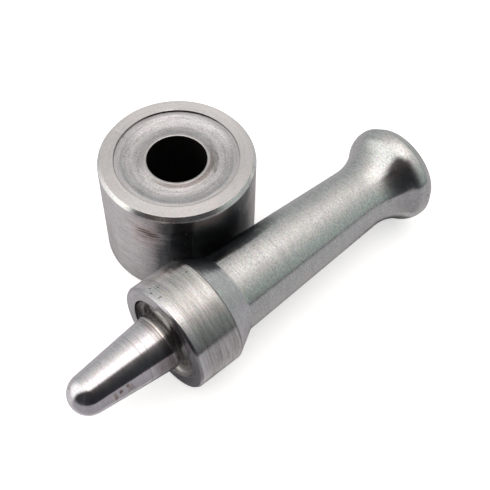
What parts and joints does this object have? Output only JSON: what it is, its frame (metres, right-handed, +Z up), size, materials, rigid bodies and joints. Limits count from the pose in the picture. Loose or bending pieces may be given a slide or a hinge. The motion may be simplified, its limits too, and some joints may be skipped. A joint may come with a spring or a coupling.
{
  "type": "grommet setting tool",
  "caption": "Two-piece hand tool for setting sheet-metal grommets: a dished die block with a through bore, and a turned punch with a tapered pilot, grooved collar and flared head.",
  "frame": {"origin": "on the die block's axis, in the plane of its base", "axes": "+Z up along the die's bore. The punch lies on the bench beside the die, its head towards +X +Y and its pilot towards -X -Y"},
  "size_m": [0.0743, 0.0705, 0.0254],
  "materials": {
    "die_steel": "bare turned and ground steel, lightly worn",
    "punch_steel": "bare turned steel with fine lathe marks, polished pilot"
  },
  "bodies": {
    "die": {"die_block": "die_steel"},
    "punch": {"setting_punch": "punch_steel"}
  },
  "joints": [
    {"name": "punch_lift", "type": "slide", "parent": "die", "child": "punch", "axis": [0, 0, 1], "range_m": [0, 0.06]}
  ]
}
